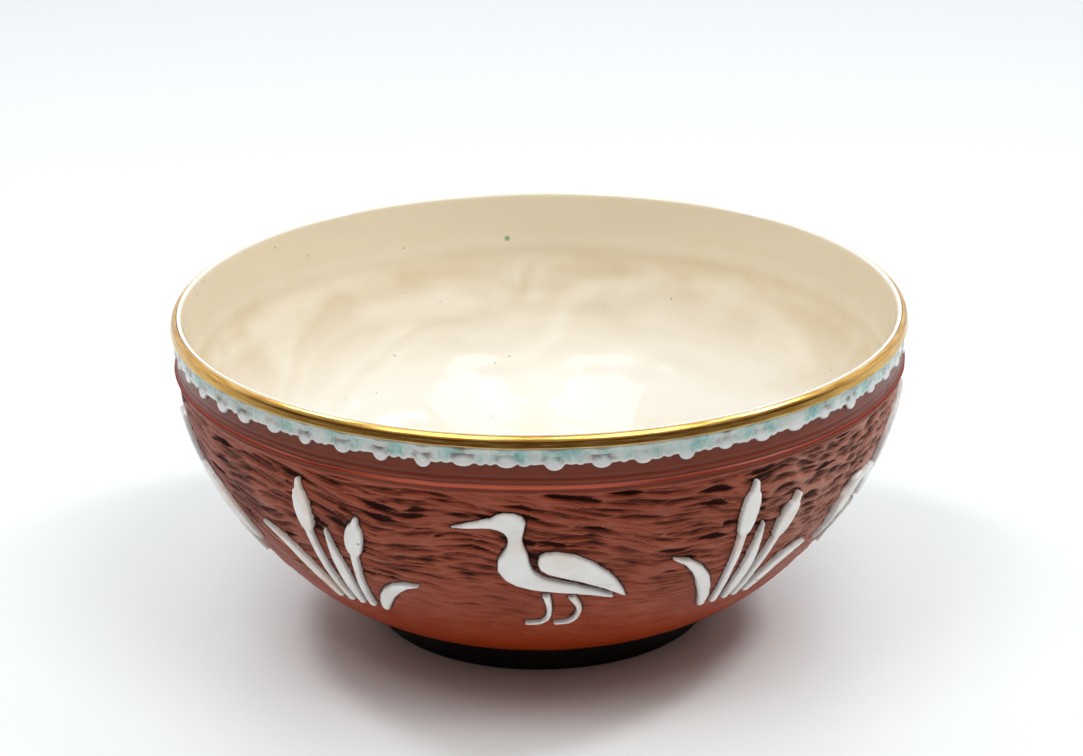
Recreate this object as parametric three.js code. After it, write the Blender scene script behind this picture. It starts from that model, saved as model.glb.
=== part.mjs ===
// Carved and glazed clay bowl: a thrown red clay wall on a luted foot ring, a cream glaze lining,
// a dripped collar glaze, a gilded lip and a frieze of separate raised white glaze islands.
// Millimetres, +Z up, origin at the centre of the foot's resting plane.

import * as THREE from 'three';
import { TessellateModifier } from 'three/addons/modifiers/TessellateModifier.js';
import { mergeVertices } from 'three/addons/utils/BufferGeometryUtils.js';

// Foot ring
const footRadius = 62.5;          // widest radius of the foot, near its base
const footHeight = 9.5;           // height of the ring below the bowl's underside
const footWidth = 8;              // radial width of the ring
const footBatter = 1.6;           // how far the outer side leans in towards the top
const footRound = 1.2;            // softened arrises at the resting face

// Bowl wall
const wallTopRadius = 133.4;      // outer radius just below the ridge
const wallHeight = 89.7;          // from the underside up to the ridge
const wallFullness = 1.62;        // 2 is an ellipse, less is straighter
const wallThickness = 5.2;        // at the ridge
const floorThickness = 7;         // at the middle of the bowl
const jointInset = 2.8;           // the wall springs from this far inside the foot's widest radius

// Ridge, cove, collar seat and lip, from the wall upwards
const ridgeHeight = 3.2;
const ridgeProjection = 0.9;
const coveHeight = 4.2;
const coveDepth = 0.8;
const collarHeight = 8.8;
const lipProjection = 1.6;        // how far the lip stands out over the collar seat
const lipHeight = 3.4;
const lipThickness = 2.6;
const lipRound = 0.9;

// Coats fired on to the clay
const bondGap = 0.3;              // space left between a coat and what it is fired on to
const liningThickness = 0.8;
const collarThickness = 0.9;
const gildingThickness = 0.5;
const gildingDrop = 3;            // how far the gilding reaches down the outside of the lip
const gildingShare = 0.55;        // share of the lip's flat crest that is gilded

// Drips along the lower edge of the collar glaze
const dripCount = 56;
const dripLength = 2.9;
const dripBead = 0.5;             // extra thickness where a drip gathers
const dripSteps = 4;              // facets across one drip

// Frieze of raised islands
const friezePairs = 5;            // each pair is one heron and one clump of bulrushes
const friezeTopMargin = 5;        // clear wall below the ridge, measured along the wall
const friezeBottomMargin = 57;    // clear wall above the underside, measured along the wall
const reliefThickness = 1.4;
const reliefDraft = 0.45;         // how far the top edge of an island lies inside its base
const motifGap = 10;              // clear wall between a heron and its neighbours

// Facets
const turnSegments = 60;
const wallSteps = 12;
const liningSteps = 8;
const outlineSteps = 3;           // facets for each curve of an outline
const longestEdge = 16;           // longest facet of an island before it is bent to the wall
const weldTolerance = 1e-4;

const frontAngle = -Math.PI / 2;

// Levels worked out from the sizes above
const undersideLevel = footHeight + bondGap;
const wallTopLevel = undersideLevel + wallHeight;
const ridgeTopLevel = wallTopLevel + ridgeHeight;
const collarSeatLevel = ridgeTopLevel + coveHeight;
const lipLevel = collarSeatLevel + collarHeight;
const crestLevel = lipLevel + lipHeight;
const flareLevel = lipLevel - lipProjection / 2;
const gildingLevel = crestLevel - gildingDrop;
const floorLevel = undersideLevel + floorThickness;

// Radii worked out from the sizes above
const wallBottomRadius = footRadius - jointInset;
const ridgeRadius = wallTopRadius + ridgeProjection;
const collarSeatRadius = wallTopRadius - coveDepth;
const lipRadius = collarSeatRadius + lipProjection;
const lipInnerRadius = lipRadius - lipThickness;
const innerTopRadius = wallTopRadius - wallThickness;
const crestOuterRadius = lipRadius - lipRound;
const crestInnerRadius = lipInnerRadius + lipRound;
const gildingEdgeRadius = THREE.MathUtils.lerp(crestOuterRadius, crestInnerRadius, gildingShare);

// Quarter of a superellipse in the (radius, height) plane, flat at the bottom and upright at the top
class BowlCurve extends THREE.Curve {
  constructor(bottomRadius, bottomLevel, topRadius, topLevel) {
    super();
    this.bottom = new THREE.Vector2(bottomRadius, bottomLevel);
    this.top = new THREE.Vector2(topRadius, topLevel);
  }

  getPoint(t, target = new THREE.Vector2()) {
    const angle = t * Math.PI / 2;
    const power = 2 / wallFullness;
    const across = Math.sin(angle) ** power;
    const down = Math.max(Math.cos(angle), 0) ** power;
    return target.set(
      THREE.MathUtils.lerp(this.bottom.x, this.top.x, across),
      THREE.MathUtils.lerp(this.top.y, this.bottom.y, down),
    );
  }
}

const outerCurve = new BowlCurve(wallBottomRadius, undersideLevel, wallTopRadius, wallTopLevel);

// The inner side of the clay, and every coat on it, lies at one set distance from the wall's own curve
function innerCurve(inset) {
  return new BowlCurve(wallBottomRadius, floorLevel + inset, innerTopRadius - inset, wallTopLevel);
}

function point(radius, level) {
  return new THREE.Vector2(radius, level);
}

// Shared vertices joined and empty triangles dropped, so that the surface is one closed skin
function weld(geometry) {
  const bare = new THREE.BufferGeometry();
  bare.setAttribute('position', geometry.getAttribute('position'));
  bare.setIndex(geometry.getIndex());
  const joined = mergeVertices(bare, weldTolerance);
  const corners = joined.getIndex().array;
  const kept = [];
  for (let i = 0; i < corners.length; i += 3) {
    const [a, b, c] = corners.slice(i, i + 3);
    if (a !== b && b !== c && c !== a) kept.push(a, b, c);
  }
  joined.setIndex(kept);
  joined.computeVertexNormals();
  return joined;
}

// A profile turned about +Z; it runs outwards along the bottom, up the outside and back inside
function turned(profile, segments = turnSegments) {
  return new THREE.LatheGeometry(profile, segments).rotateX(Math.PI / 2);
}

function closed(profile) {
  return [...profile, profile[0]];
}

const bowl = new THREE.Group();

function addPart(name, geometry, color, roughness, metalness = 0) {
  const material = new THREE.MeshStandardMaterial({ color, roughness, metalness });
  const mesh = new THREE.Mesh(weld(geometry), material);
  mesh.name = name;
  bowl.add(mesh);
}

// Red clay wall with its floor, ridge, cove, collar seat and lip, thrown in one piece
function bodyWall() {
  const ridgeBevel = ridgeHeight / 3;
  const seatStep = coveHeight / 3;
  const outside = [
    point(0, undersideLevel),
    ...outerCurve.getSpacedPoints(wallSteps),
    point(ridgeRadius, wallTopLevel + ridgeBevel),
    point(ridgeRadius, ridgeTopLevel - ridgeBevel),
    point(wallTopRadius, ridgeTopLevel),
    point(collarSeatRadius, ridgeTopLevel + seatStep),
    point(collarSeatRadius, flareLevel),
    point(lipRadius, flareLevel + lipProjection),
  ];
  const lip = [
    point(lipRadius, crestLevel - lipRound),
    point(crestOuterRadius, crestLevel),
    point(crestInnerRadius, crestLevel),
    point(lipInnerRadius, crestLevel - lipRound),
  ];
  const inside = [...innerCurve(0).getSpacedPoints(liningSteps).reverse(), point(0, floorLevel)];
  return turned([...outside, ...lip, ...inside]);
}

// Foot ring, turned by itself and luted under the bowl
function footRing() {
  const topRadius = footRadius - footBatter;
  const innerRadius = footRadius - footWidth;
  return turned(closed([
    point(innerRadius + footRound, 0),
    point(footRadius - footRound, 0),
    point(footRadius, footRound),
    point(topRadius, footHeight),
    point(innerRadius, footHeight),
    point(innerRadius, footRound),
  ]));
}

// One face of the lining: up the inner wall, round the lip's inner shoulder and on to its crest
function liningFace(inset) {
  return [
    point(0, floorLevel + inset),
    ...innerCurve(inset).getSpacedPoints(liningSteps),
    point(lipInnerRadius - inset, crestLevel - lipRound),
    point(crestInnerRadius - inset / 2, crestLevel + inset),
    point(gildingEdgeRadius - bondGap, crestLevel + inset),
  ];
}

function insideGlaze() {
  const back = liningFace(bondGap);
  const front = liningFace(bondGap + liningThickness);
  return turned([...back, ...front.reverse()]);
}

// One face of the gilding: from the crest out over the lip's shoulder and down its outside
function gildingFace(inset) {
  return [
    point(gildingEdgeRadius, crestLevel + inset),
    point(crestOuterRadius + inset / 2, crestLevel + inset),
    point(lipRadius + inset, crestLevel - lipRound),
    point(lipRadius + inset, gildingLevel),
  ];
}

function rimGilding() {
  const back = gildingFace(bondGap);
  const front = gildingFace(bondGap + gildingThickness);
  return turned(closed([...front.reverse(), ...back]));
}

// Collar glaze: a thin ring in its seat whose lower edge runs down in rounded drips
function collarGlaze() {
  const backRadius = collarSeatRadius + bondGap;
  const beadRadius = backRadius + collarThickness + dripBead;
  const topLevel = gildingLevel - bondGap;
  const topBackRadius = backRadius + Math.max(topLevel - flareLevel, 0);
  const edgeLevel = collarSeatLevel + dripLength;
  const section = closed([
    point(backRadius, edgeLevel),
    point(beadRadius, edgeLevel + dripBead),
    point(topBackRadius + collarThickness, topLevel),
    point(topBackRadius, topLevel),
    point(backRadius, flareLevel - bondGap),
  ]);
  const geometry = turned(section, dripCount * dripSteps);
  const places = geometry.getAttribute('position');
  for (let i = 0; i < places.count; i += 1) {
    const level = places.getZ(i);
    const reach = (topLevel - level) / (topLevel - edgeLevel);
    const turn = Math.atan2(places.getY(i), places.getX(i));
    const drip = Math.abs(Math.cos(turn * dripCount / 2));
    places.setZ(i, level - dripLength * drip * reach);
  }
  return geometry;
}

// Motifs are drawn flat, with their feet at y = 0, and are fitted to the wall afterwards.
// Outline made of quadratic curves, each written as its control point and its end
function curvedOutline(start, curves) {
  const shape = new THREE.Shape().moveTo(...start);
  curves.forEach((curve) => shape.quadraticCurveTo(...curve));
  const outline = shape.getPoints(outlineSteps);
  outline.pop();
  return outline;
}

// Ribbon along a curve: each station gives a place on the curve and the half width there
function ribbonOutline(curve, stations) {
  const right = [];
  const left = [];
  stations.forEach(({ at, half }) => {
    const centre = curve.getPointAt(at);
    const along = curve.getTangentAt(at);
    right.push(point(centre.x + along.y * half, centre.y - along.x * half));
    left.unshift(point(centre.x - along.y * half, centre.y + along.x * half));
  });
  return [...right, ...left];
}

function bend(start, control, end) {
  return new THREE.QuadraticBezierCurve(point(...start), point(...control), point(...end));
}

// Tapering leaf blade
function blade(start, control, end, width) {
  const steps = 6;
  const tip = 0.4;
  const stations = Array.from({ length: steps + 1 }, (_, i) => {
    const at = i / steps;
    const swell = Math.sin(Math.PI * (0.15 + 0.85 * at)) ** 0.8;
    return { at, half: Math.max(tip, width / 2 * swell) };
  });
  return ribbonOutline(bend(start, control, end), stations);
}

// Stalk that carries a long round seed head below its tip
function bulrush(start, control, end) {
  const stalk = 1.6;
  const head = 3.5;
  const headMiddle = 0.78;
  const headReach = 0.15;
  const headSteps = 6;
  const stations = [0, 0.3, 0.58].map((at) => ({ at, half: stalk }));
  for (let i = 0; i <= headSteps; i += 1) {
    const turn = Math.PI * i / headSteps;
    const at = headMiddle - headReach * Math.cos(turn);
    stations.push({ at, half: stalk + (head - stalk) * Math.sin(turn) });
  }
  stations.push({ at: 1, half: stalk / 2 });
  return ribbonOutline(bend(start, control, end), stations);
}

// Slim leg that ends in a forward toe
function leg(places) {
  const thigh = 1.5;
  const toe = 0.8;
  const steps = 8;
  const stations = Array.from({ length: steps + 1 }, (_, i) => {
    const at = i / steps;
    return { at, half: THREE.MathUtils.lerp(thigh, toe, at) };
  });
  return ribbonOutline(new THREE.SplineCurve(places.map((place) => point(...place))), stations);
}

// Belly, tail and the edge along the folded wing are the same for both herons
const tailCurves = [
  [14, 20.1, 24, 16.6],
  [25.8, 16.1, 25, 18.1],
  [15, 24.2, 5, 27.4],
  [-3.5, 30.1, -3.9, 35.9],
];

const alertBody = curvedOutline([-29, 50.8], [
  [-22, 51.2, -15.5, 51.4],
  [-11.5, 50.8, -10.9, 48.1],
  [-10.4, 45.4, -11.8, 42.6],
  [-17.5, 34.5, -12.5, 28.2],
  [-7.5, 22.4, 3, 21.5],
  ...tailCurves,
  [-4.2, 40.4, -5.6, 44],
  [-6.4, 47.1, -5.2, 50.8],
  [-3.4, 56.1, -8.5, 57.5],
  [-13, 58.4, -15.8, 55.2],
  [-22, 53.7, -29, 50.8],
]);

const stoopingBody = curvedOutline([-34, 14], [
  [-30.6, 19.6, -26.8, 24.4],
  [-21.8, 25.2, -21, 31],
  [-20.4, 37.2, -16, 36.8],
  [-12.6, 36.3, -11.8, 31.9],
  [-9.5, 22.9, 3, 21.5],
  ...tailCurves,
  [-5, 41.1, -13.5, 41.3],
  [-23.5, 41.7, -26.4, 36.2],
  [-31.2, 33.4, -29.8, 27.4],
  [-31.8, 20.8, -34, 14],
]);

const foldedWing = curvedOutline([-1.7, 36.4], [
  [-1.8, 31.4, 6.5, 29.1],
  [17, 25.5, 30, 16.1],
  [28.5, 22.9, 22, 30.5],
  [14, 39.9, 4.5, 41.1],
  [-1.9, 41.7, -1.7, 36.4],
]);

const raisedWing = curvedOutline([-1.7, 35.9], [
  [0.5, 31.6, 8, 30],
  [13, 30.2, 17.5, 33],
  [15, 34.4, 14.6, 36.6],
  [18.4, 37.6, 22, 40.6],
  [18.6, 41, 17.4, 43.2],
  [21.4, 45, 25, 49],
  [21, 48.8, 19.6, 50.6],
  [23, 54, 25.5, 59.4],
  [8, 57, 1.5, 46.5],
  [-2.4, 40.4, -1.7, 35.9],
]);

const heronLegs = {
  front_leg: leg([[1, 19.6], [2.6, 11], [0.6, 2.4], [-7, 1]]),
  rear_leg: leg([[10, 18.4], [13.4, 10.5], [11, 2.4], [4, 1]]),
};

const heronPoses = [
  { body: alertBody, wing: foldedWing, ...heronLegs },
  { body: stoopingBody, wing: raisedWing, ...heronLegs },
];

const bulrushClump = {
  tall_stalk: bulrush([-5, 0], [-8, 30], [-5.5, 60]),
  short_stalk: bulrush([5.4, 0], [7, 24], [15, 49]),
  left_blade: blade([-10.6, 0], [-17, 28], [-32, 33], 5.8),
  middle_blade: blade([0.3, 0], [2, 20], [1, 41], 5.2),
  right_blade: blade([11.2, 0], [19, 20], [32, 20], 5.8),
};

// The drawings are fitted to the clear height of the wall and to the pitch of the motifs round it
const heronBox = new THREE.Box2().setFromPoints(heronPoses.flatMap((pose) => Object.values(pose).flat()));
const clumpBox = new THREE.Box2().setFromPoints(Object.values(bulrushClump).flat());
const drawnHeight = Math.max(heronBox.max.y, clumpBox.max.y);
const drawnSpan = Math.max(heronBox.max.x - clumpBox.min.x, clumpBox.max.x - heronBox.min.x);
const wallLength = outerCurve.getLength();
const friezeHeight = wallLength - friezeTopMargin - friezeBottomMargin;
const friezeRadius = outerCurve.getPointAt((friezeBottomMargin + friezeHeight / 2) / wallLength).x;
const friezePitch = Math.PI * friezeRadius / friezePairs;
const friezeScaleX = (friezePitch - motifGap) / drawnSpan;
const friezeScaleY = friezeHeight / drawnHeight;

// Every corner of an outline moved inwards, square to the mean of its two edges
function insetOutline(outline, distance) {
  return outline.map((corner, i) => {
    const before = outline.at(i - 1);
    const after = outline[(i + 1) % outline.length];
    const arriving = corner.clone().sub(before).normalize();
    const leaving = after.clone().sub(corner).normalize();
    const along = arriving.add(leaving).normalize();
    return point(corner.x - along.y * distance, corner.y + along.x * distance);
  });
}

// Flat island with drafted sides, still in the plane of the drawing
function flatIsland(outline) {
  const base = outline.map((corner) => point(corner.x * friezeScaleX, corner.y * friezeScaleY));
  const top = insetOutline(base, reliefDraft);
  const count = base.length;
  const places = [
    ...base.flatMap(({ x, y }) => [x, y, bondGap]),
    ...top.flatMap(({ x, y }) => [x, y, bondGap + reliefThickness]),
  ];
  const faces = THREE.ShapeUtils.triangulateShape(base, []).flatMap(([a, b, c]) => [
    a, c, b,
    a + count, b + count, c + count,
  ]);
  for (let i = 0; i < count; i += 1) {
    const next = (i + 1) % count;
    faces.push(i, next, next + count);
    faces.push(i, next + count, i + count);
  }
  const geometry = new THREE.BufferGeometry();
  geometry.setAttribute('position', new THREE.Float32BufferAttribute(places, 3));
  geometry.setIndex(faces);
  return geometry;
}

// The island bent on to the wall: x turns round the axis, y follows the wall's curve, z stands off it
function island(outline, turn) {
  const splits = 6;
  const geometry = new TessellateModifier(longestEdge, splits).modify(flatIsland(outline));
  const places = geometry.getAttribute('position');
  for (let i = 0; i < places.count; i += 1) {
    const share = (friezeBottomMargin + places.getY(i)) / wallLength;
    const foot = outerCurve.getPointAt(share);
    const along = outerCurve.getTangentAt(share);
    const stand = places.getZ(i);
    const radius = foot.x + along.y * stand;
    const angle = turn + places.getX(i) / friezeRadius;
    places.setXYZ(i, radius * Math.cos(angle), radius * Math.sin(angle), foot.y - along.x * stand);
  }
  return geometry;
}

function addIslands(prefix, outlines, turn) {
  Object.entries(outlines).forEach(([part, outline]) => {
    addPart(`${prefix}_${part}`, island(outline, turn), '#ece8e4', 0.3);
  });
}

addPart('body_wall', bodyWall(), '#6e2a22', 0.55);
addPart('foot_ring', footRing(), '#1d1210', 0.6);
addPart('inside_glaze', insideGlaze(), '#ece0cd', 0.15);
addPart('collar_glaze', collarGlaze(), '#c3dcd8', 0.25);
addPart('rim_gilding', rimGilding(), '#b8892c', 0.25, 1);

const pairTurn = 2 * Math.PI / friezePairs;
for (let pair = 0; pair < friezePairs; pair += 1) {
  const heronTurn = frontAngle + pair * pairTurn;
  addIslands(`heron_${pair + 1}`, heronPoses[pair % heronPoses.length], heronTurn);
  addIslands(`bulrush_${pair + 1}`, bulrushClump, heronTurn + pairTurn / 2);
}

export default bowl;
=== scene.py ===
import math

import bmesh
import bpy
import numpy as np
from mathutils import Matrix, Vector, noise
from mathutils.kdtree import KDTree


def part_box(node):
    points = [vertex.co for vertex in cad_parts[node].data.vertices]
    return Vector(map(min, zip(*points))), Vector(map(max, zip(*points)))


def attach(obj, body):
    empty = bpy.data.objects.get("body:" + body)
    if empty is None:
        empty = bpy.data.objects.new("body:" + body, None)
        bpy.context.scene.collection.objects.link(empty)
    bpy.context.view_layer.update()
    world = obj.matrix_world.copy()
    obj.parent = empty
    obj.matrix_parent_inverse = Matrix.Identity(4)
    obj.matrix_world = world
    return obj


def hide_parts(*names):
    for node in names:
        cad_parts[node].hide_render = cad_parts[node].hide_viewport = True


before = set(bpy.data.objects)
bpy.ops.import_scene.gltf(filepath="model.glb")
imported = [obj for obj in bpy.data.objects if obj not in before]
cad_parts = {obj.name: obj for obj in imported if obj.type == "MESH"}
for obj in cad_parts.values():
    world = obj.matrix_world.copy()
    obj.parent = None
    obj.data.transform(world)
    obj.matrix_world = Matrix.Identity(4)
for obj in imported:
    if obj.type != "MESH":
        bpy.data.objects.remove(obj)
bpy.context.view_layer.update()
mm = 0.001
frontTurn = -math.pi / 2        # the photographed front is the -Y side
print("frame loaded:", len(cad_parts), "nodes")


def toLinear(hexColour):
    parts = [int(hexColour[i:i + 2], 16) / 255 for i in (1, 3, 5)]
    return tuple(c / 12.92 if c <= 0.04045 else ((c + 0.055) / 1.055) ** 2.4 for c in parts) + (1.0,)


# one small node adder for every tree: a socket takes a number, a hex colour, another socket or a node's first
# output, and a colour ramp's stops are places with a hex colour or a grey level
def addNode(tree, kind, inputs=None, stops=(), **settings):
    node = tree.nodes.new(kind if "Node" in kind else "ShaderNode" + kind)
    for name, value in settings.items():
        setattr(node, name, value)
    for socket, value in (inputs or {}).items():
        if isinstance(value, bpy.types.Node):
            value = value.outputs[0]
        if isinstance(value, bpy.types.NodeSocket):
            tree.links.new(value, node.inputs[socket])
        else:
            isHex = isinstance(value, str) and value.startswith("#")
            node.inputs[socket].default_value = toLinear(value) if isHex else value
    if stops:
        elements = node.color_ramp.elements
        while len(elements) < len(stops):
            elements.new(1.0)
        for element, (place, tint) in zip(elements, stops):
            element.position = place
            element.color = toLinear(tint) if isinstance(tint, str) else (tint, tint, tint, 1.0)
    return node


rangeSockets = ("Value", "From Min", "From Max", "To Min", "To Max")
signs = {"+": "ADD", "-": "SUBTRACT", "*": "MULTIPLY", "/": "DIVIDE", "*+": "MULTIPLY_ADD", "max": "MAXIMUM",
         "min": "MINIMUM", "->": "LINEAR", "~>": "SMOOTHSTEP"}


# rows of arithmetic: each names a result, what is done, and to which earlier results or numbers; an arrow
# carries a value from one range into another, straight or eased
def addSums(tree, known, rows):
    for name, sign, *terms in rows:
        terms = [known.get(term, term) for term in terms]
        operation = signs.get(sign, sign)
        if sign in ("->", "~>"):
            done = addNode(tree, "MapRange", dict(zip(rangeSockets, terms)), interpolation_type=operation)
        else:
            done = addNode(tree, "Math", dict(enumerate(terms)), operation=operation)
        known[name] = done.outputs[0]


# Object coordinates unrolled: round the axis in x and y at a chosen radius, height in z, so that
# a pattern can be stretched round the bowl and still meet itself at the back
def unrolled(tree, position, height, ringRadius):
    flat = addNode(tree, "VectorMath", {0: position, 1: (1, 1, 0)}, operation="MULTIPLY")
    unit = addNode(tree, "VectorMath", {0: flat}, operation="NORMALIZE")
    ring = addNode(tree, "VectorMath", {0: unit, "Scale": ringRadius}, operation="SCALE")
    lifted = addNode(tree, "CombineXYZ", {"Z": height})
    return addNode(tree, "VectorMath", {0: ring, 1: lifted}, operation="ADD")


# a finish from its dictionary: attributes of the mesh, places to read a pattern at, noises and cells by size,
# arithmetic, colour ramps, coats of colour one over another, fine relief and the shader's own sockets
def newMaterial(name, look):
    material = bpy.data.materials.new(name)
    material.use_nodes = True
    tree = material.node_tree
    tree.nodes.clear()
    known = {n: addNode(tree, "Attribute", attribute_name=n).outputs["Fac"] for n in look.get("kept", ())}
    coords = known["coords"] = addNode(tree, "TexCoord").outputs["Object"]
    known["height"] = addNode(tree, "SeparateXYZ", {0: coords}).outputs["Z"]
    for label, (rise, ring) in look.get("rings", {}).items():
        known[label] = unrolled(tree, coords, known[rise], ring)
    for label, (operation, vector, output) in look.get("vectors", {}).items():
        done = addNode(tree, "VectorMath", {0: coords, 1: vector}, operation=operation)
        known[label] = done.outputs[output]
    for label, (place, size, detail, more) in look.get("grains", {}).items():
        sockets = {"Vector": known[place], "Scale": 1 / size, "Detail": detail, **more}
        grain = addNode(tree, "TexNoise", sockets, noise_dimensions="4D" if "W" in more else "3D")
        known[label] = grain.outputs[0]
    for label, (place, size, feature) in look.get("cells", {}).items():
        cells = addNode(tree, "TexVoronoi", {"Vector": known[place], "Scale": 1 / size}, feature=feature)
        known[label] = cells.outputs["Distance"]
        if feature == "F1":     # and a random number for each cell
            known[label + "Draw"] = addNode(tree, "SeparateColor", {0: cells.outputs["Color"]}).outputs[0]
    addSums(tree, known, look.get("sums", ()))
    for label, (source, stops) in look.get("ramps", {}).items():
        known[label] = addNode(tree, "ValToRGB", {0: known[source]}, stops).outputs[0]
    for label, (base, *layers) in look.get("coats", {}).items():
        known[label] = known.get(base, base)
        for factor, tint, *blend in layers:
            sockets = {"Factor": known.get(factor, factor), "A": known[label], "B": known.get(tint, tint)}
            mixed = addNode(tree, "Mix", sockets, data_type="RGBA", blend_type=(blend or ["MIX"])[0])
            known[label] = mixed.outputs["Result"]
    sockets = {socket: known.get(value, value) for socket, value in look["shader"].items()}
    if "bump" in look:
        relief, strength, depth = look["bump"]
        bump = addNode(tree, "Bump", {"Height": known[relief], "Strength": strength, "Distance": depth})
        sockets["Normal"] = bump
    shader = addNode(tree, "BsdfPrincipled", {"Base Color": known["body"], **sockets})
    addNode(tree, "OutputMaterial", {"Surface": shader})
    return material


socketKinds = {int: "Int", float: "Float", bpy.types.Object: "Object", bpy.types.Material: "Material"}


# a Geometry Nodes tree with named inputs, what its sums may name, and the inputs' values by socket identifier
def newTree(name, inputs, attributes):
    tree = bpy.data.node_groups.new(name, "GeometryNodeTree")
    for side in ("INPUT", "OUTPUT"):
        tree.interface.new_socket(name="Geometry", in_out=side, socket_type="NodeSocketGeometry")
    values = {}
    for label, value in inputs.items():
        kind = "NodeSocket" + socketKinds[type(value)]
        values[tree.interface.new_socket(name=label, in_out="INPUT", socket_type=kind).identifier] = value
    given = addNode(tree, "NodeGroupInput").outputs
    known = {label: given[label] for label in ("Geometry", *inputs)}
    for label in attributes:
        read = addNode(tree, "GeometryNodeInputNamedAttribute", {"Name": label}, data_type="FLOAT")
        known[label] = read.outputs[0]
    return tree, known, values


# keeps some results for the colour, moves the points, and ends as the export needs it
def endTree(tree, known, kept, move, material):
    geometry = known["Geometry"]
    for label in kept:
        sockets = {"Geometry": geometry, "Name": label, "Value": known[label]}
        geometry = addNode(tree, "GeometryNodeStoreNamedAttribute", sockets, data_type="FLOAT",
                           domain="POINT")
    moved = addNode(tree, "GeometryNodeSetPosition", {"Geometry": geometry, **move})
    real = addNode(tree, "GeometryNodeRealizeInstances", {"Geometry": moved})
    coated = addNode(tree, "GeometryNodeSetMaterial", {"Geometry": real, "Material": known[material]})
    addNode(tree, "NodeGroupOutput", {"Geometry": coated})


def addObject(name, data):
    made = bpy.data.objects.new(name, data)
    bpy.context.scene.collection.objects.link(made)
    return made


# runs one modifier on a mesh and gives back the plain mesh
def applyModifier(name, mesh, kind, inputs=None, **settings):
    carrier = addObject(name, mesh)
    modifier = carrier.modifiers.new(name, kind)
    for setting, value in settings.items():
        setattr(modifier, setting, value)
    for identifier, value in (inputs or {}).items():
        modifier[identifier] = value
    depsgraph = bpy.context.evaluated_depsgraph_get()
    result = bpy.data.meshes.new_from_object(carrier.evaluated_get(depsgraph), depsgraph=depsgraph)
    carrier.modifiers.clear()
    bpy.data.objects.remove(carrier)
    return result


# the bowl's form, millimetres: the wall is a quarter superellipse from the foot joint up to the ridge
form = {
    "jointRadius": 59.7, "topRadius": 133.4, "topLevel": 99.5, "fullness": 1.62, "innerTopRadius": 128.2,
    "seatRadius": 132.6, "floorRise": 7.0, "bondGap": 0.3, "liningThickness": 0.8, "hubRadius": 30.0,
}
form["underside"], form["crest"] = (corner.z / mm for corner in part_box("body_wall"))
form["floor"] = form["underside"] + form["floorRise"]


def bowlCurve(bottomRadius, bottomLevel, topRadius, topLevel, count=2400):
    turn = np.linspace(0, math.pi / 2, count)
    power = 2 / form["fullness"]
    radius = bottomRadius + (topRadius - bottomRadius) * np.sin(turn) ** power
    level = topLevel - (topLevel - bottomLevel) * np.cos(turn).clip(0) ** power
    run = np.concatenate([[0], np.cumsum(np.hypot(np.diff(radius), np.diff(level)))])
    return radius, level, run


wallRadius, wallLevel, wallRun = bowlCurve(
    form["jointRadius"], form["underside"], form["topRadius"], form["topLevel"])
wallTangent = np.stack([np.gradient(wallRadius, wallRun), np.gradient(wallLevel, wallRun)])
wallTangent /= np.linalg.norm(wallTangent, axis=0)
wallLength = wallRun[-1]
wallPasses = 7                  # enough for a place on the wall to settle
noiseSteps = (17.3, 7.1, 3.7)   # how far apart two seeds read the noise


def onWall(run, lift):          # radius and level of points that stand off the wall
    along = [np.interp(run, wallRun, part) for part in wallTangent]
    return (np.interp(run, wallRun, wallRadius) + along[1] * lift,
            np.interp(run, wallRun, wallLevel) - along[0] * lift)


def wallPlace(radius, level):   # the reverse: run along the wall and height off it
    run = np.interp(level, wallLevel, wallRun)
    step = 0
    for _ in range(wallPasses):
        run = run + step
        footRadius, footLevel = onWall(run, 0)
        along = [np.interp(run, wallRun, part) for part in wallTangent]
        step = (radius - footRadius) * along[0] + (level - footLevel) * along[1]
    return run, (radius - footRadius) * along[1] - (level - footLevel) * along[0]


def softNoise(places, size, seed):      # smooth seeded noise, -1 to 1, features about size wide
    shift = Vector([seed * step for step in noiseSteps])
    return np.array([noise.noise(Vector(p) / size + shift) for p in places])


# rings of (radius, level, columns) in millimetres, up the outside and back down the inside;
# neighbouring rings have equal columns, twice as many or a single point
def turnedMesh(name, rings, closed=False):
    places, starts = [], []
    for radius, level, columns in rings:
        starts.append(sum(len(p) for p in places))
        turn = frontTurn + 2 * math.pi * np.arange(columns) / columns
        places.append(np.stack([radius * np.cos(turn), radius * np.sin(turn), np.full(columns, level)], 1))
    faces = []
    for k in range(len(rings) if closed else len(rings) - 1):
        after = (k + 1) % len(rings)
        a, b, low, high = rings[k][2], rings[after][2], starts[k], starts[after]
        few, many = min(a, b), max(a, b)
        for j in range(many if few == 1 else few):
            if a == 1:
                faces.append((low, high + (j + 1) % b, high + j))
            elif b == 1:
                faces.append((low + j, low + (j + 1) % a, high))
            elif a == b:
                n = (j + 1) % a
                faces.append((low + j, low + n, high + n, high + j))
            else:               # three triangles join two columns of one ring to one of the other
                fine, coarse = (low, high) if a > b else (high, low)
                left, mid, right = (fine + c % many for c in (2 * j, 2 * j + 1, 2 * j + 2))
                here, there = coarse + j, coarse + (j + 1) % few
                trio = [(left, mid, here), (mid, there, here), (mid, right, there)]
                faces += trio if a > b else [face[::-1] for face in trio]
    mesh = bpy.data.meshes.new(name)
    mesh.from_pydata((np.concatenate(places) * mm).tolist(), [], faces)
    mesh.polygons.foreach_set("use_smooth", np.ones(len(mesh.polygons), bool))
    mesh.update()
    return mesh


def meshPlaces(mesh):           # millimetres
    flat = np.empty(len(mesh.vertices) * 3)
    mesh.vertices.foreach_get("co", flat)
    return flat.reshape(-1, 3) / mm


def setPlaces(mesh, places):
    mesh.vertices.foreach_set("co", (np.asarray(places, float) * mm).ravel())
    mesh.update()


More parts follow.
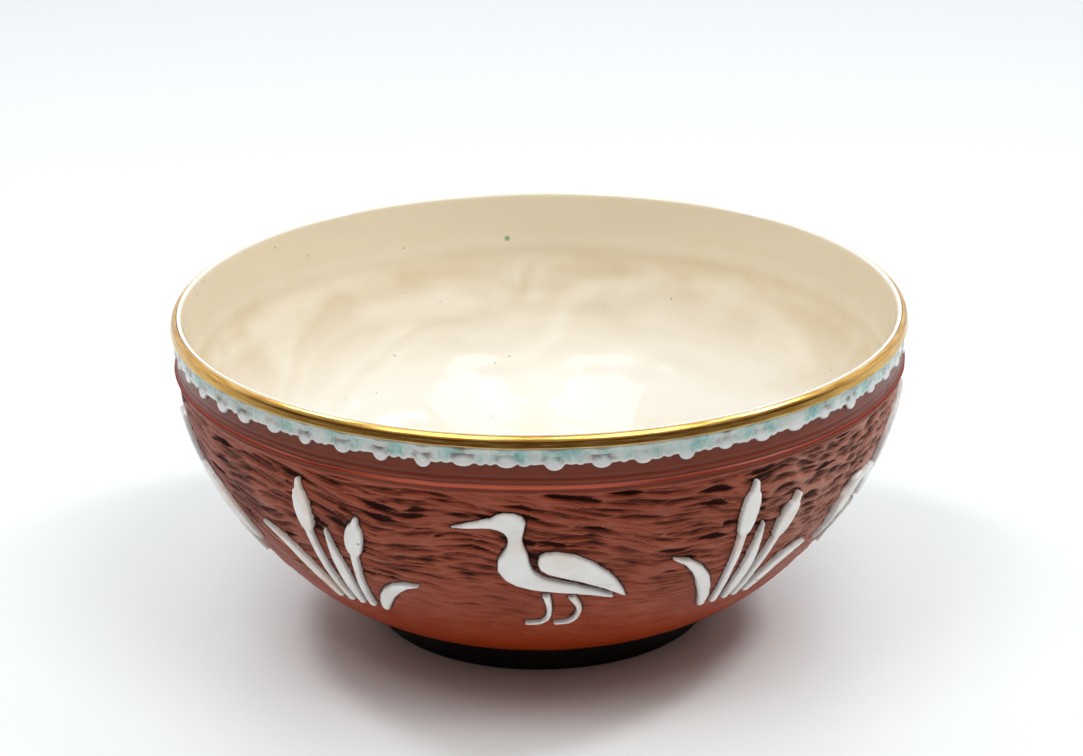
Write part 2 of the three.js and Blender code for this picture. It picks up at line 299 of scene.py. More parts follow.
def setValues(mesh, name, values):
    layer = mesh.attributes.new(name, "FLOAT", "POINT")
    layer.data.foreach_set("value", np.asarray(values, float))


def addPiece(name, mesh, material, nodes):
    piece = addObject(name, mesh)
    mesh.materials.clear()
    mesh.materials.append(material)
    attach(piece, "root")
    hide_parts(*nodes)
    return piece


weldGap = 1e-6
reliefNames = sorted(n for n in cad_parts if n.startswith(("heron_", "bulrush_")))


def weldedCopy(names):          # CAD nodes copied into one shape with its doubles merged
    shape = bmesh.new()
    for name in names:
        shape.from_mesh(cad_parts[name].data)
    bmesh.ops.remove_doubles(shape, verts=shape.verts, dist=weldGap)
    shape.verts.index_update()
    return shape


def plainMesh(name, shape):
    mesh = bpy.data.meshes.new(name)
    shape.to_mesh(mesh)
    shape.free()
    return mesh


# carved ground: long strokes of a narrow gouge side by side in the leather-hard wall, shorter chips on the
# right flank, a deeper cut here and there, a groove round each island
carving = {
    "meanRadius": 124 * mm, "rowTilt": 0.14, "waveSize": 46 * mm, "waveHeight": 23 * mm, "waveDetail": 1.5,
    "gougeWidth": 2.4 * mm, "gougeStretch": 8.0, "gougeSlope": 1.05, "gougeDepth": 0.6 * mm,
    "scoopLean": 0.75,
    "chipWidth": 3.1 * mm, "chipStretch": 2.7, "chipSlope": 1.0, "chipDepth": 1.6 * mm,
    "chipFrom": 58 * mm, "chipFull": 90 * mm, "chipStain": 0.4,
    "pitWidth": 2.6 * mm, "pitStretch": 5.2, "pitSlope": 1.1, "pitDepth": 1.5 * mm, "pitShare": 0.32,
    "flankShare": 0.06, "nearShare": 0.35, "nearReach": 9 * mm, "pitLow": 58 * mm, "pitHigh": 100 * mm,
    "weakest": 0.45, "scratchWidth": 1.1 * mm, "scratchStretch": 11.0, "scratchSlope": 1.0,
    "scratchDepth": 0.16 * mm, "grooveFrom": form["bondGap"] * mm, "grooveWidth": 1 * mm,
    "grooveDepth": 0.5 * mm,
}
scoops = [("gouge", "EUCLIDEAN"), ("chip", "EUCLIDEAN"), ("scratch", "EUCLIDEAN"), ("pit", "MANHATTAN")]


def carvingTree(inputs):
    tree, known, values = newTree("carvedGround", inputs, ("run", "field"))
    position = addNode(tree, "GeometryNodeInputPosition")
    normal = addNode(tree, "GeometryNodeInputNormal")
    known["across"] = addNode(tree, "SeparateXYZ", {0: position}).outputs["X"]
    source = addNode(tree, "GeometryNodeObjectInfo", {"Object": known["Islands"]}, transform_space="ORIGINAL")
    nearest = addNode(tree, "GeometryNodeProximity", {0: source.outputs["Geometry"]}, target_element="FACES")
    known["gap"] = nearest.outputs["Distance"]

    # slow waves bend the rows of scoops, which slope down to the right across the front
    addSums(tree, known, [("waveScale", "/", 1.0, "waveSize")])
    sheet = unrolled(tree, position, known["run"], known["meanRadius"])
    sockets = {"Vector": sheet, "Scale": known["waveScale"], "Detail": known["waveDetail"]}
    known["wave"] = addNode(tree, "TexNoise", sockets).outputs[0]
    addSums(tree, known, [
        ("swing", "-", "wave", 0.5), ("swing", "*", "swing", "waveHeight"),
        ("bent", "+", "run", "swing"), ("bent", "*+", "across", "rowTilt", "bent"),
        ("flank", "->", "across", "chipFrom", "chipFull"),      # where short chips take over
    ])

    # long cells of a Voronoi field on a narrowed ring: each cell is one scoop, steepest at its upper side
    for tool, metric in scoops:
        addSums(tree, known, [("narrowed", "/", "meanRadius", tool + "Stretch"),
                              ("cellScale", "/", 1.0, tool + "Width")])
        ring = unrolled(tree, position, known["bent"], known["narrowed"])
        cells = addNode(tree, "TexVoronoi", {"Vector": ring, "Scale": known["cellScale"]}, distance=metric)
        known["distance"] = cells.outputs["Distance"]
        known["middle"] = addNode(tree, "SeparateXYZ", {0: cells.outputs["Position"]}).outputs["Z"]
        addSums(tree, known, [
            ("reach", "*", "distance", tool + "Slope"), ("hollow", "*", "reach", "reach"),
            ("hollow", "-", 1.0, "hollow"), ("hollow", "max", "hollow", 0.0),
            ("lean", "-", "bent", "middle"), ("lean", "/", "lean", tool + "Width"),
            ("lean", "*+", "lean", "scoopLean", 1.0), ("scoop", "*", "hollow", "lean"),
            (tool, "*", "scoop", tool + "Depth"),
        ])
    draws = addNode(tree, "SeparateXYZ", {0: cells.outputs["Color"]}).outputs       # a set for each pit
    known.update(pick=draws["X"], push=draws["Y"])
    addSums(tree, known, [
        # only some pits are dug, more of them beside an island, fewer on the flank, shallower low down
        ("beside", "->", "gap", 0.0, "nearReach", "nearShare", 0.0),
        ("fewer", "->", "flank", 0.0, 1.0, "pitShare", "flankShare"), ("share", "+", "beside", "fewer"),
        ("dug", "LESS_THAN", "pick", "share"), ("force", "->", "push", 0.0, 1.0, "weakest", 1.0),
        ("dug", "*", "dug", "force"), ("high", "->", "run", "pitLow", "pitHigh", "weakest", 1.0),
        ("dug", "*", "dug", "high"), ("pit", "*", "pit", "dug"),
        # the stain and painted shade lie thinner in chips than they would for their depth
        ("thinChip", "*", "chip", "chipStain"), ("chipped", "*", "flank", "field"),
    ])
    for use, chip in (("carved", "chip"), ("stainedAndShaded", "thinChip")):
        addSums(tree, known, [
            ("change", "-", chip, "gouge"), ("strokes", "*+", "flank", "change", "gouge"),
            ("strokes", "max", "strokes", "pit"), ("strokes", "+", "strokes", "scratch"),
            (use, "*", "strokes", "field"),
        ])
    addSums(tree, known, [
        # the knife's groove where each raised island meets the ground
        ("rim", "~>", "gap", "grooveFrom", "grooveWidth", 1.0, 0.0),
        ("groove", "*", "rim", "grooveDepth"), ("depth", "max", "carved", "groove"),
        ("inward", "*", "depth", -1.0), ("cut", "/", "stainedAndShaded", "pitDepth"),
    ])
    offset = addNode(tree, "VectorMath", {0: normal, "Scale": known["inward"]}, operation="SCALE")
    endTree(tree, known, ("cut", "bent", "gap", "chipped"), {"Offset": offset}, "Clay")
    return tree, values


# rows of points up the wall, millimetres: close ones in the carved field, wide ones below, and its soft edges
field = {
    "low": 50.0, "fade": 14.0, "topFade": 1.2, "lightRuns": (55.0, 100.0), "lightShare": 0.62, "columns": 480,
    "rowStep": 0.46, "bandStep": 1.5, "band": 6.0, "plainStep": 3.0, "innerRows": 26, "tolerance": 0.05,
}
# clay profile above the carved field, millimetres: undercut, ridge, scribed line, cove, collar seat and lip
rimProfile = [
    (133.15, 99.9), (133.1, 100.5), (133.35, 100.8), (133.9, 101.05), (134.2, 101.35), (134.15, 101.65),
    (133.75, 101.95), (133.25, 102.2), (133.05, 102.6), (133.2, 103.2), (133.15, 104.1), (132.8, 104.6),
    (132.95, 105.1), (132.75, 106.2), (132.6, 107.4), (132.6, 111.0), (132.6, 114.9), (133.4, 115.7),
    (134.2, 116.5), (134.2, 118.2), (133.9, 118.75), (133.4, 119.1), (132.4, 119.1), (131.9, 118.75),
    (131.6, 118.2),
]
ridge = {
    "level": 101.6, "half": 0.52, "dark": 0.95, "darkHalf": 0.4, "darkShare": 0.75, "scribe": 104.7,
    "scribeShare": 0.5, "zone": (98.0, 108.0), "zoneRadius": 131.0, "sway": 0.42, "swaySize": 45.0,
    "fineSize": 12.0, "fineShare": 0.5, "root": 133.2, "nose": 0.4, "noseTop": 103.0,
}


def bodyRings():
    full, half, quarter, core = (field["columns"] // k for k in (1, 2, 4, 8))
    hub, floor, underside = form["hubRadius"], form["floor"], form["underside"]
    low = field["low"] - field["fade"] / 2
    bands = [(quarter, 0.0, low - field["band"], field["plainStep"]),
             (half, low - field["band"], low, field["bandStep"]), (full, low, wallLength, field["rowStep"])]
    rings = [(0.0, underside, 1), (hub, underside, core)]
    for columns, start, end, step in bands:
        count = max(2, round((end - start) / step))
        for run in np.linspace(start, end, count, endpoint=columns == full):
            radius, level = onWall(run, 0)
            rings.append((float(radius), float(level), columns))
    rings += [(radius, level, half) for radius, level in rimProfile]
    inner = bowlCurve(form["jointRadius"], floor, form["innerTopRadius"], form["topLevel"],
                      field["innerRows"])
    rings += [(float(r), float(z), quarter) for r, z in zip(inner[0][::-1], inner[1][::-1])]
    return rings + [(hub, floor, core), (0.0, floor, 1)]


def makeBody(material):
    mesh = turnedMesh("carvedBody", bodyRings())
    places = meshPlaces(mesh)
    level, radius = places[:, 2].copy(), np.hypot(places[:, 0], places[:, 1])
    run, lift = wallPlace(radius, level)
    outside = (np.abs(lift) < field["tolerance"]) & (level < form["topLevel"] + field["tolerance"])
    run = np.where(outside, run, 0)
    rise = ((run - field["low"] + field["fade"]) / field["fade"]).clip(0, 1)
    fall = ((wallLength - run) / field["topFade"]).clip(0, 1)
    light = np.interp(run, field["lightRuns"], (field["lightShare"], 1))     # lighter cuts low down
    setValues(mesh, "run", run * mm)
    setValues(mesh, "field", rise * rise * (3 - 2 * rise) * fall * light * outside)

    # the ridge's red top, and painted shade on its sides and in the scribed line above it
    rim = (level > ridge["zone"][0]) & (level < ridge["zone"][1]) & (radius > ridge["zoneRadius"])
    fromRidge = level - ridge["level"]
    beside = (np.abs(fromRidge) - ridge["dark"]) / ridge["darkHalf"]
    scribed = (level - ridge["scribe"]) / ridge["darkHalf"]
    dark = np.maximum(ridge["darkShare"] * np.exp(-beside ** 2), ridge["scribeShare"] * np.exp(-scribed ** 2))
    setValues(mesh, "ridge", np.exp(-(fromRidge / ridge["half"]) ** 2) * rim)
    setValues(mesh, "under", dark * rim)

    # hand-cut unevenness
    around = (places * (1, 1, 0))[rim]
    sway = np.zeros(len(places))
    sway[rim] = softNoise(around, ridge["swaySize"], 3)
    sway[rim] += ridge["fineShare"] * softNoise(around, ridge["fineSize"], 4)
    nose = (radius - ridge["root"]).clip(0, None) * rim * (level < ridge["noseTop"])
    proud = nose * ridge["nose"] * sway
    places[:, :2] *= ((radius + proud) / np.where(radius > 0, radius, 1))[:, None]
    places[:, 2] += ridge["sway"] * sway
    setPlaces(mesh, places)

    islands = bpy.data.objects.new("islandsForGroove", plainMesh("islandsForGroove", weldedCopy(reliefNames)))
    tree, values = carvingTree({"Islands": islands, "Clay": material, **carving})
    carved = applyModifier("carvedBody", mesh, "NODES", values, node_group=tree)
    bpy.data.objects.remove(islands)
    return addPiece("carved_body", carved, material, ["body_wall"])


# red earthenware under a thin satin wash: brown red with fine combed strokes, painted paler on the crests as
# a sheen, near black where stain and painted shade lie in the deep cuts; the carving's own rows are drawn
# fine in it
clay = {
    "kept": ("bent", "field", "cut", "gap", "chipped", "ridge", "under"),
    "rings": {"gougeRows": ("bent", carving["meanRadius"] / carving["gougeStretch"]),
              "chipRows": ("bent", carving["meanRadius"] / carving["chipStretch"]),
              "lathe": ("height", 4 * mm)},
    "vectors": {"faced": ("DOT_PRODUCT", (-0.11, -0.994, 0.0), "Value")},
    "grains": {"blotch": ("coords", 22 * mm, 3.0, {}), "hair": ("gougeRows", 0.6 * mm, 2.0, {}),
               "brush": ("lathe", 0.9 * mm, 2.0, {})},
    "cells": {"gougeBorder": ("gougeRows", carving["gougeWidth"], "DISTANCE_TO_EDGE"),
              "chipBorder": ("chipRows", carving["chipWidth"], "DISTANCE_TO_EDGE")},
    "sums": [
        # bare brick red below the field, a browner wash in the cove above it
        ("washed", "->", "height", 24 * mm, 46 * mm),
        ("cove", "->", "height", 102.4 * mm, 103.4 * mm),
        # a painted sheen: a pale crest between two strokes or chips, and paler chips over the right flank
        ("combed", "-", "field", "chipped"), ("crest", "->", "gougeBorder", 0.0, 0.13, 0.3, 0.0),
        ("crest", "*", "crest", "combed"), ("chips", "->", "chipBorder", 0.0, 0.18, 0.68, 0.42),
        ("chips", "*", "chips", "chipped"), ("crest", "max", "crest", "chips"),
        # stain gathered in the cuts, darkened further by painted shade, and painted shade as a dark outline
        # in the groove round each island
        ("stainAndShade", "*+", "hair", 0.45, "cut"),
        ("grooveShade", "->", "gap", 0.5 * mm, 0.95 * mm, 0.85, 0.0),
        # the ridge is painted pale on top over a short stretch in front: partly rubbed clay, partly a painted
        # highlight where it faces the lamps in front
        ("paled", "->", "faced", 122 * mm, 130 * mm), ("paled", "*", "ridge", "paled"),
        # fine turning lines, hair lines in the strokes and their raised crests
        ("relief", "*", "brush", 0.45), ("relief", "*+", "hair", "field", "relief"),
        ("relief", "*+", "crest", 0.8, "relief"),
        # stained cuts, bare clay and the ridge are duller than the wash
        ("rough", "->", "stainAndShade", 0.15, 0.75, 0.3, 0.6),
        ("gloss", "->", "stainAndShade", 0.4, 0.75, 0.32, 0.06),
        ("waxed", "->", "washed", 0.0, 1.0, 0.06, 1.0), ("gloss", "*", "gloss", "waxed"),
        ("dry", "->", "ridge", 0.0, 1.0, 1.0, 0.12), ("gloss", "*", "gloss", "dry"),
    ],
    "ramps": {"tone": ("blotch", [(0.32, "#83341b"), (0.5, "#903c20"), (0.7, "#9c472b")]),
              "stainedAndShaded": ("stainAndShade", [(0.53, 0.0), (0.63, 0.5), (0.78, 0.97)])},
    # the pale crest colours are a painted sheen, paler over the chipped right flank
    "coats": {"crestSheen": ["#ab634b", ("chipped", "#c08b79")],
              "body": ["#9a3307", ("washed", "tone"), ("cove", "#773018"), ("crest", "crestSheen"),
                       # the dark brown beside the ridge and in the scribed line is painted shade
                       # the near black in the cuts is stain plus painted shade; the dark outline round each
                       # island is painted shade
                       ("stainedAndShaded", "#230905"), ("grooveShade", "#260b06"), ("under", "#35110a"),
                       # the pale salmon on the ridge's front stretch is partly rubbed clay, partly painted
                       # highlight
                       ("ridge", "#80240f"), ("paled", "#c25a41")]},
    "bump": ("relief", 0.35, 0.25 * mm),
    "shader": {"Roughness": "rough", "Specular IOR Level": "gloss", "IOR": 1.5},
}

# raised islands, millimetres: thick white glaze that has pulled into rounded pads with thin warm edges
island = {
    "height": 1.3, "edge": -0.1, "sink": -2.2, "shoulder": 1.5, "swell": 0.12, "swellSize": 9.0,
    "wobble": 0.22, "wobbleSize": 7.0, "voxel": 0.42, "baseReach": 0.5, "topReach": 0.4, "outlineStep": 0.2,
    "smoothings": 2,
}


def islandOutline(shape):       # close points round the foot of an island's sides
    places = np.array([v.co for v in shape.verts]) / mm
    lift = wallPlace(np.hypot(places[:, 0], places[:, 1]), places[:, 2])[1]
    atBase = lift < form["bondGap"] + island["baseReach"]
    outline = []
    for edge in shape.edges:
        ends = [v.index for v in edge.verts]
        flats = [all(atBase[v.index] for v in face.verts) for face in edge.link_faces]
        if all(atBase[ends]) and sum(flats) == 1:
            a, b = places[ends]
            steps = max(2, int(np.linalg.norm(b - a) / island["outlineStep"]))
            outline += [a + (b - a) * k / steps for k in range(steps)]
    tree = KDTree(len(outline))
    for k, place in enumerate(outline):
        tree.insert(place, k)
    tree.balance()
    return tree


def islandMesh(name):
    shape = weldedCopy([name])
    outline = islandOutline(shape)
    slab = plainMesh(name, shape)
    mesh = applyModifier(name, slab, "REMESH", mode="VOXEL", voxel_size=island["voxel"] * mm)
    places = meshPlaces(mesh)
    turn = np.arctan2(places[:, 1], places[:, 0])
    run, lift = wallPlace(np.hypot(places[:, 0], places[:, 1]), places[:, 2])
    footRadius, footLevel = onWall(run, form["bondGap"])
    feet = np.stack([footRadius * np.cos(turn), footRadius * np.sin(turn), footLevel], 1)
    inset = np.array([outline.find(p)[2] for p in feet])
    top = lift > form["bondGap"] + island["topReach"]
    dome = np.sqrt(1 - (1 - (inset / island["shoulder"]).clip(0, 1)) ** 2)
    swell = island["swell"] * softNoise(feet, island["swellSize"], 11)
    rise = island["edge"] + (island["height"] - island["edge"]) * dome + swell * dome
    side, slip = (island["wobble"] * softNoise(feet, island["wobbleSize"], seed) for seed in (12, 13))
    radius, level = onWall(run + slip, np.where(top, rise, island["sink"]))
    turn = turn + side / radius
    setPlaces(mesh, np.stack([radius * np.cos(turn), radius * np.sin(turn), level], 1))
    smoothed = bmesh.new()
    smoothed.from_mesh(mesh)
    for _ in range(island["smoothings"]):
        bmesh.ops.smooth_vert(smoothed, verts=smoothed.verts, factor=0.5,
                              use_axis_x=True, use_axis_y=True, use_axis_z=True)
    smoothed.to_mesh(mesh)
    smoothed.free()
    setValues(mesh, "inset", np.where(top, inset, 0) * mm)
    mesh.polygons.foreach_set("use_smooth", np.ones(len(mesh.polygons), bool))
    mesh.update()
    return mesh


def makeRelief(material):
    total = 0
    for name in reliefNames:
        mesh = islandMesh(name)
        total += len(mesh.polygons)
        addPiece("raised_" + name, mesh, material, [name])
    print("islands:", len(reliefNames), "pieces,", total, "faces")


# tin white glaze laid on thick: clean and glossy on the pads, thin at the edges, where the clay warms it;
# painted grey towards the edges as shade on the pads' rounded shoulders
whiteGlaze = {
    "kept": ("inset",),
    "grains": {"cloud": ("coords", 14 * mm, 2.0, {}), "wander": ("coords", 4 * mm, 2.0, {}),
               "warm": ("coords", 18 * mm, 2.0, {"W": 4.0})},
    "cells": {"fromHole": ("coords", 11 * mm, "F1")},
    "sums": [
        ("reach", "*+", "wander", 0.5 * mm, "inset"),
        ("depth", "->", "reach", 0.15 * mm, 1.5 * mm), ("rough", "->", "cloud", 0.0, 1.0, 0.22, 0.38),
        # a warm blush where the coat is thin over the clay, and pinholes
        ("blush", "->", "warm", 0.54, 0.74, 0.0, 0.7),
        ("hole", "->", "fromHole", 0.03, 0.08, 0.7, 0.0),
    ],
    # the brown at the very edge is thin glaze over clay; the grey towards the edges is painted shade
    "ramps": {"coat": ("depth", [(0.0, "#6e3a2a"), (0.08, "#b59c90"), (0.18, "#dcd8d5"), (0.5, "#f0f0ee"),
                                 (1.0, "#f9f8f6")]),
              "tone": ("cloud", [(0.3, "#f0efee"), (0.65, "#ffffff")])},
    "coats": {"body": ["coat", (1.0, "tone", "MULTIPLY"), ("blush", "#eccdb8"), ("hole", "#8a7f79")]},
    "bump": ("wander", 0.25, 0.4 * mm),
    "shader": {"Roughness": "rough", "IOR": 1.5},
}

# inside glaze, millimetres: poured over clay that the fingers pushed out from within, so its surface rolls
# and the glaze pools
lining = {
    "bulge": 1.1, "bulgeSize": 38.0, "bulgeShare": 0.75, "dentSize": 38.0 / 2.6, "dentShare": 0.25,
    "swirl": 34.0, "swirlSize": 52.0, "flatness": 1.7,
    "arcTurns": 13.0, "arcSize": 64.0, "arcHeight": 0.18, "arcTint": 0.22,
    "ripple": 0.04, "ripplePitch": 7.5, "rippleStray": 2.0, "straySize": 60.0,
    "calmFrom": 1.0, "calmReach": 8.0,
    "bandStep": 0.3, "bandLevel": 99.0, "bandFade": 12.0, "bandSway": 1.6, "bandSwaySize": 40.0,
    "edgeDrop": 2.5, "edgeHalf": 3.0, "edgeTint": 0.4, "edgeSize": 30.0,
    "columns": 256, "rowStep": 1.6, "backRows": 20, "lipRows": 9,
}
# radius and rise over the clay's crest, behind the lip and then over it; the floor's radii come after the
# number that divides their columns
liningBack = [(131.3, -0.95), (131.75, -0.05), (132.2, 0.3), (132.5, 0.3)]
liningLip = [(132.55, 0.7), (132.42, 1.0), (132.1, 1.1), (131.6, 0.98), (131.1, 0.5), (130.75, -0.3),
             (130.5, -1.4)]
liningFloor = [(1, (56.0, 50.0, 44.0)), (2, (36.0, 28.0)), (4, (20.0, 10.0))]


def liningRings():
    columns, top, crest = lining["columns"], form["topLevel"], form["crest"]
    gap, thick, joint = form["bondGap"], form["liningThickness"], form["jointRadius"]
    under, inner = form["floor"] + gap, form["innerTopRadius"] - gap
    back = bowlCurve(joint, under, inner, top, lining["backRows"])
    rings = [(0.0, under, 1), (form["hubRadius"], under, columns // 2)]
    rings += [(float(r), float(z), columns) for r, z in zip(back[0], back[1])]
    rings += [(r, crest + rise, columns) for r, rise in liningBack]
    hidden = len(rings)
    rings += [(r, crest + rise, columns) for r, rise in liningLip]
    face = bowlCurve(joint, under + thick, inner - thick, top)
    radius, level = rings[-1][:2]
    for share in np.linspace(0, 1, lining["lipRows"] + 2)[1:-1]:
        rings.append((radius + (face[0][-1] - radius) * share,
                      level + (face[1][-1] - level) * share, columns))
    for run in np.arange(face[2][-1], 0, -lining["rowStep"]):
        rings.append((*(float(np.interp(run, face[2], part)) for part in face[:2]), columns))
    for part, radii in liningFloor:
        rings += [(r, under + thick, columns // part) for r in radii]
    return rings + [(0.0, under + thick, 1)], hidden


def makeLining(material):
    rings, hidden = liningRings()
    mesh = turnedMesh("insideGlaze", rings)
    places = meshPlaces(mesh)
    level = places[:, 2]
    normals = np.array([v.normal for v in mesh.vertices])
    sway = lining["bandSway"] * softNoise(places * (1, 1, 0), lining["bandSwaySize"], 27)
    band = lining["bandLevel"] + sway
    below = ((band - level) / lining["bandFade"]).clip(0, 1)       # 0 in the rim band
    soft = below * below * (3 - 2 * below)
    # swirling bulges: noise read at places that another noise has pushed about
    flat = places * (1, 1, lining["flatness"])
    push = np.stack([softNoise(flat, lining["swirlSize"], seed) for seed in (24, 25, 26)], 1)
    flat += push * lining["swirl"]
    roll = 0.5 + lining["bulgeShare"] * softNoise(flat, lining["bulgeSize"], 21)
    roll = (roll + lining["dentShare"] * softNoise(flat, lining["dentSize"], 22)).clip(0, 1)
    arcs = np.sin(lining["arcTurns"] * softNoise(flat, lining["arcSize"], 29)) * soft
    # throwing lines and a step at the rim band, both calm at the lip
    stray = lining["rippleStray"] * softNoise(places, lining["straySize"], 23)
    thrown = lining["ripple"] * np.sin(level * 2 * math.pi / lining["ripplePitch"] + stray)
    calm = ((form["crest"] - lining["calmFrom"] - level) / lining["calmReach"]).clip(0, 1)
    lift = (lining["bulge"] * roll + lining["arcHeight"] * (1 + arcs)) * soft
    lift += (lining["bandStep"] * (1 - soft) + thrown) * calm
    lift[:sum(ring[2] for ring in rings[:hidden])] = 0
    edge = np.exp(-((level - band + lining["edgeDrop"]) / lining["edgeHalf"]) ** 2)
    edge *= lining["edgeTint"] * (1 + softNoise(places, lining["edgeSize"], 28))
    pool = (1 - roll - lining["arcTint"] * arcs) * soft + edge
    setPlaces(mesh, places + normals * lift[:, None])
    setValues(mesh, "pool", pool.clip(0, 1))
    return addPiece("cream_lining", mesh, material, ["inside_glaze"])


# clear cream glaze on pale slip: soft gloss, khaki where it pooled, whiter low down, pin specks of iron and
# one copper spot
creamGlaze = {
    "kept": ("pool",),
    "vectors": {"flat": ("MULTIPLY", (1, 1, lining["flatness"]), "Vector"),
                "fromSpot": ("DISTANCE", (-12.5 * mm, 126 * mm, 102.5 * mm), "Value")},
    "grains": {"wisp": ("flat", 26 * mm, 4.0, {"Distortion": 1.2})},
    "cells": {"fromSpeck": ("coords", 9 * mm, "F1")},
    "sums": [
        ("mixed", "*+", "wisp", 0.8, "pool"),
        ("upper", "->", "height", 90 * mm, 106 * mm, 0.0, 0.7),
        ("lower", "->", "height", 46 * mm, 92 * mm, 0.97, 0.0),
        ("pooled", "->", "height", 16 * mm, 54 * mm, 1.0, 0.0),
        ("lip", "->", "height", 119.2 * mm, 119.8 * mm),
        ("spot", "->", "fromSpot", 0.8 * mm, 1.6 * mm, 0.8, 0.0),
        # iron specks half a millimetre across, in about half the cells
        ("speck", "->", "fromSpeck", 0.025, 0.065, 0.6, 0.0),
        ("chosen", "GREATER_THAN", "fromSpeckDraw", 0.45), ("speck", "*", "speck", "chosen"),
    ],
    "ramps": {"tone": ("mixed", [(0.35, "#eae1ce"), (0.7, "#e3d7bf"), (1.0, "#dbccae")])},
    "coats": {"body": ["tone", ("upper", "#dccfb2"), ("lower", "#f1efe9"), ("pooled", "#d9d1bf"),
                       ("lip", "#efeadf"), ("speck", "#76603c"), ("spot", "#1f8f5c")]},
    "shader": {"Roughness": 0.09, "Specular IOR Level": 0.38, "IOR": 1.5},
}

# collar glaze: runny glaze under the lip that gathered into thick tongues, with short drips between them
collar = {
    "tongues": 56, "seed": 5, "longDrip": 2.9 * mm, "shortDrip": 0.9 * mm, "dripRound": 0.6,
    "dripBlend": 0.25 * mm, "rowCrowding": 0.55, "thickness": 0.6 * mm, "turnUnder": 0.9 * mm,
    "bead": 0.3 * mm, "beadFrom": 0.6 * mm, "beadHeight": 2.4 * mm, "tonguePad": 0.35 * mm,
    "tongueFrom": 2.7 * mm, "tongueReach": 5.4 * mm, "tongueBow": 1.4 * mm, "smearHeight": 5.6 * mm,
    "smearCore": 0.45 * mm, "smearHalf": 3 * mm, "smearNarrowing": 0.3, "flareHeight": 1.2 * mm,
    "flareOut": 1 * mm,
}
collarGrid = {"columns": 1680, "rows": 17}
slimmest = 0.66                 # least width of a drip, as a share of its full one
# length, middle in its stretch of the ring, stray from it, half width, least share of the length
drips = [
    ("longDrip", 0.3, 0.06, 0.24, 0.4), ("shortDrip", 0.66, 0.05, 0.14, 0.2),
    ("shortDrip", 0.88, 0.02, 0.1, 0.2),
]


def makeCollar(material):
    columns, rows = collarGrid["columns"], collarGrid["rows"]
    mesh = turnedMesh("collarGlaze", [(1.0, 0.0, columns)] * (rows + 2), closed=True)    # the tree places it
    down = [0, 1] + [1 - k / (rows - 1) for k in range(rows)]
    setValues(mesh, "share", np.repeat(down, columns))
    setValues(mesh, "front", np.repeat([0, 1], [2 * columns, rows * columns]))
    setValues(mesh, "turn", np.tile(np.arange(columns) / columns, rows + 2))
    low, high = (corner.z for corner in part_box("collar_glaze"))
    tree, values = collarTree({
        "Glaze": material, **collar, "edge": low + collar["longDrip"], "top": high,
        "seat": (form["seatRadius"] + form["bondGap"]) * mm})
    glazed = applyModifier("collarGlaze", mesh, "NODES", values, node_group=tree)
    return addPiece("dripped_collar", glazed, material, ["collar_glaze"])


def collarTree(inputs):
    tree, known, values = newTree("collarDrips", inputs, ("turn", "share", "front"))
    addSums(tree, known, [("along", "*", "turn", "tongues"), ("cell", "FLOOR", "along"),
                          ("inCell", "FRACT", "along"), ("drop", "*", "share", 0.0)])
    for k, (length, middle, stray, half, least) in enumerate(drips):    # each stretch draws its own drips
        draws = [("place", 2 * k, middle - stray, middle + stray), ("part", 2 * k + 1, least, 1.0),
                 ("half", 2 * k + 20, slimmest * half, half)]
        for name, shift, smallest, largest in draws:
            addSums(tree, known, [("drawSeed", "+", "seed", shift)])
            sockets = {"ID": known["cell"], "Seed": known["drawSeed"], 2: smallest, 3: largest}
            known[name] = addNode(tree, "FunctionNodeRandomValue", sockets, data_type="FLOAT").outputs[1]
        addSums(tree, known, [
            ("away", "-", "inCell", "place"), ("away", "/", "away", "half"),
            ("square", "*", "away", "away"), ("arch", "-", 1.0, "square"),
            ("arch", "max", "arch", 0.0), ("lobe", "POWER", "arch", "dripRound"),
            ("reach", "*", "part", length), ("lobe", "*", "lobe", "reach"),
            ("drop", "SMOOTH_MAX", "drop", "lobe", "dripBlend"),
        ])
        if length == "longDrip":
            known.update(tongueSquare=known["square"], tongueArch=known["arch"], tongueLength=known["reach"])
    addSums(tree, known, [
        # rows crowd towards the lower edge, where the glaze turns under
        ("lowest", "-", "edge", "drop"), ("fall", "-", "top", "lowest"),
        ("down", "POWER", "share", "rowCrowding"), ("down", "*", "down", "fall"),
        ("level", "-", "top", "down"), ("above", "-", "level", "lowest"),
        ("under", "/", "above", "turnUnder"), ("under", "min", "under", 1.0),
        ("under", "-", 1.0, "under"), ("under", "*", "under", "under"),
        ("under", "-", 1.0, "under"), ("under", "max", "under", 0.0), ("under", "SQRT", "under"),
        # the pad of a tongue, with a bowed upper end, and the smear above it
        ("bowed", "-", "level", "edge"), ("bowed", "+", "bowed", "tongueLength"),
        ("bowed", "*+", "tongueSquare", "tongueBow", "bowed"), ("pad", "SQRT", "tongueArch"),
        ("padEnd", "~>", "bowed", "tongueFrom", "tongueReach", 1.0, 0.0),
        ("tongue", "*", "pad", "padEnd"), ("fromSmear", "-", "bowed", "smearHeight"),
        ("fromSmear", "ABSOLUTE", "fromSmear"),
        ("smear", "~>", "fromSmear", "smearCore", "smearHalf", 1.0, 0.0),
        ("beside", "*", "tongueSquare", "smearNarrowing"), ("beside", "-", 1.0, "beside"),
        ("beside", "max", "beside", 0.0), ("smear", "*", "smear", "beside"),
        # how far the coat stands off the clay, and the flare of the seat that it climbs
        ("coat", "~>", "above", "beadFrom", "beadHeight", 1.0, 0.0),
        ("coat", "*+", "coat", "bead", "thickness"),
        ("coat", "*+", "tongue", "tonguePad", "coat"), ("stand", "*", "coat", "under"),
        ("stand", "*", "stand", "front"), ("flareLow", "-", "top", "flareHeight"),
        ("flare", "~>", "level", "flareLow", "top", 0.0, "flareOut"),
        ("radius", "+", "seat", "stand"), ("radius", "+", "radius", "flare"),
    ])
    placed = unrolled(tree, addNode(tree, "GeometryNodeInputPosition"), known["level"], known["radius"])
    endTree(tree, known, ("above", "tongue", "smear"), {"Position": placed}, "Glaze")
    return tree, values


